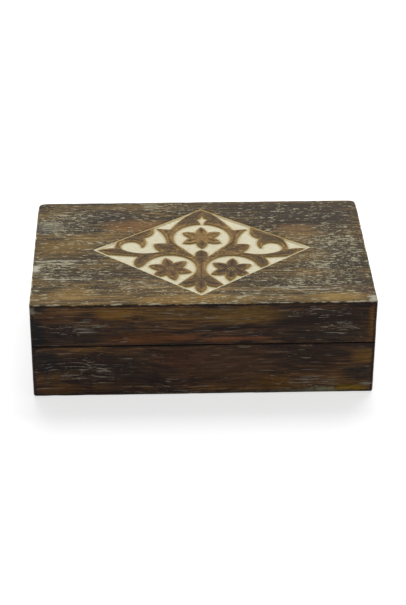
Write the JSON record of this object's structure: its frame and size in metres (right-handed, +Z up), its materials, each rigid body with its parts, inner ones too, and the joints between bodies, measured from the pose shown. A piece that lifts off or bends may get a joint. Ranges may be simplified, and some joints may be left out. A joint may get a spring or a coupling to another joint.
{
  "type": "dice box with hinged lid",
  "caption": "Rectangular wooden box with a thick lid that swings up on rear brass hinges; a diamond of scrolls and flowers is carved into the lid over a lime-painted ground.",
  "frame": {"origin": "middle of the underside, on the surface that the box stands on", "axes": "+X to the right along the front, +Y from the front to the hinged back, +Z up"},
  "size_m": [0.2032, 0.1313, 0.0635],
  "materials": {
    "stained_mango_wood": "dark brown stain with white wax in the open pores, satin",
    "carved_top_wood": "worn brown stain with grey-white wax in the pores, satin",
    "lime_paint": "chalky cream lime paint, matt",
    "green_felt": "short pressed wool felt",
    "aged_brass": "dull brass with dark film in the corners"
  },
  "bodies": {
    "base": {"base_front_board": "stained_mango_wood", "base_back_board": "stained_mango_wood", "base_left_board": "stained_mango_wood", "base_right_board": "stained_mango_wood", "base_floor_plank": "stained_mango_wood", "base_felt_liner": "green_felt", "left_hinge_base_leaf": "aged_brass", "right_hinge_base_leaf": "aged_brass", "left_hinge_pin": "aged_brass", "right_hinge_pin": "aged_brass", "base_hinge_screws": "aged_brass"},
    "lid": {"lid_top_plank": "carved_top_wood", "carving_lime_paint": "lime_paint", "lid_front_board": "stained_mango_wood", "lid_back_board": "stained_mango_wood", "lid_left_board": "stained_mango_wood", "lid_right_board": "stained_mango_wood", "left_hinge_lid_leaf": "aged_brass", "right_hinge_lid_leaf": "aged_brass", "lid_hinge_screws": "aged_brass"}
  },
  "joints": [
    {"name": "lid_hinge", "type": "hinge", "parent": "base", "child": "lid", "pos_m": [0, 0.0658, 0.035], "axis": [-1, 0, 0], "range_deg": [0, 180]}
  ]
}
